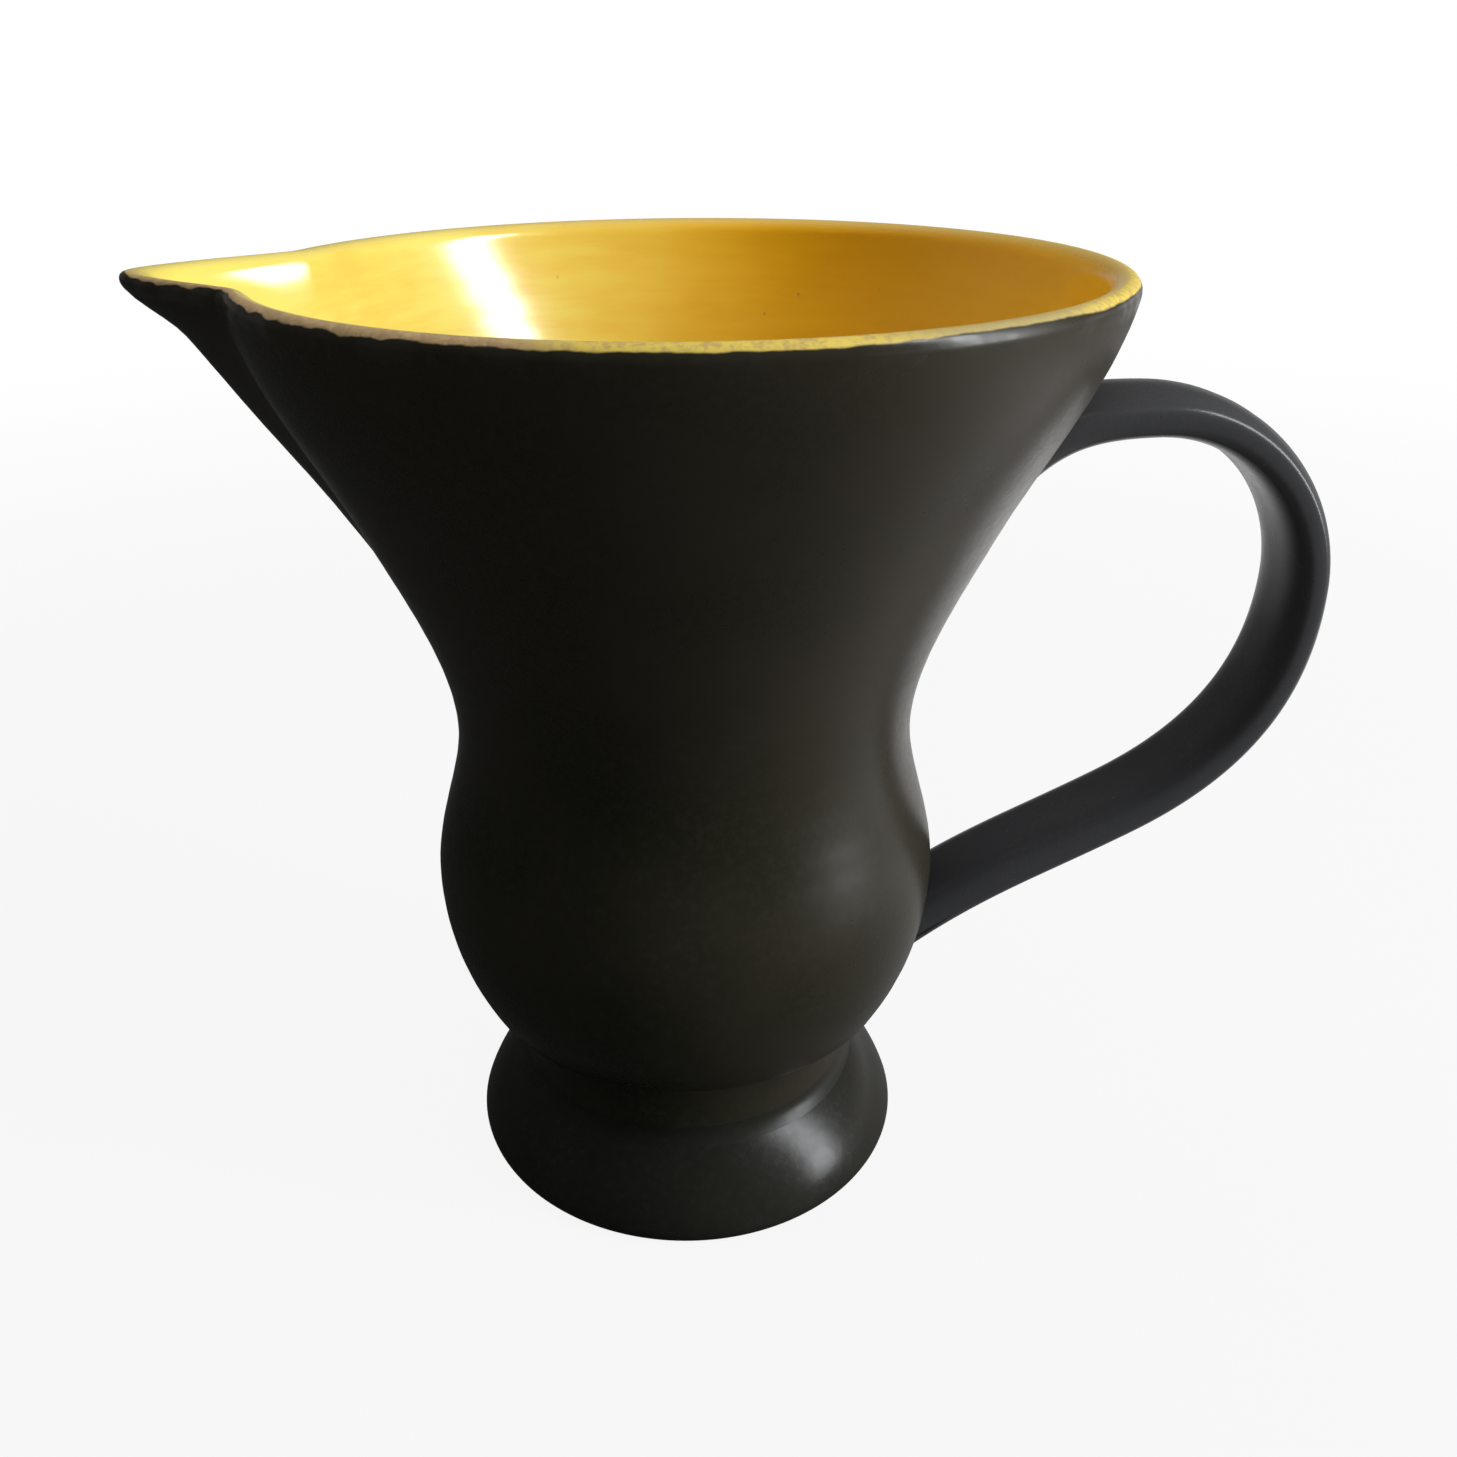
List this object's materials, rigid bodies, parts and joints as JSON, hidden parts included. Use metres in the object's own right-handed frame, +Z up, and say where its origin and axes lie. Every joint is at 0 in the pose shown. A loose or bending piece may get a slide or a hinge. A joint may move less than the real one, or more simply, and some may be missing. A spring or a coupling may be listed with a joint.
{
  "type": "oinochoe jug",
  "caption": "Footed pouring jug with a round bowl, drawn waist, flaring mouth, beaked spout and one strap handle; matte black outside, glossy yellow inside.",
  "frame": {"origin": "centre of the ring that the foot rests on, on the jug's axis", "axes": "+Z up along the jug's axis, +X towards the handle, so the spout pours along -X"},
  "size_m": [0.206, 0.1444, 0.17],
  "materials": {
    "black_clay": "satin",
    "black_slip": "satin",
    "yellow_glaze": "gloss"
  },
  "bodies": {
    "root": {"foot": "black_clay", "foot_seam_slip": "black_slip", "bowl": "black_clay", "flared_mouth": "black_clay", "pouring_spout": "black_clay", "spout_seam_slip": "black_slip", "handle": "black_clay", "handle_root_slip": "black_slip", "handle_tail_slip": "black_slip", "bowl_glaze": "yellow_glaze", "mouth_glaze": "yellow_glaze", "spout_glaze": "yellow_glaze"}
  },
  "joints": []
}
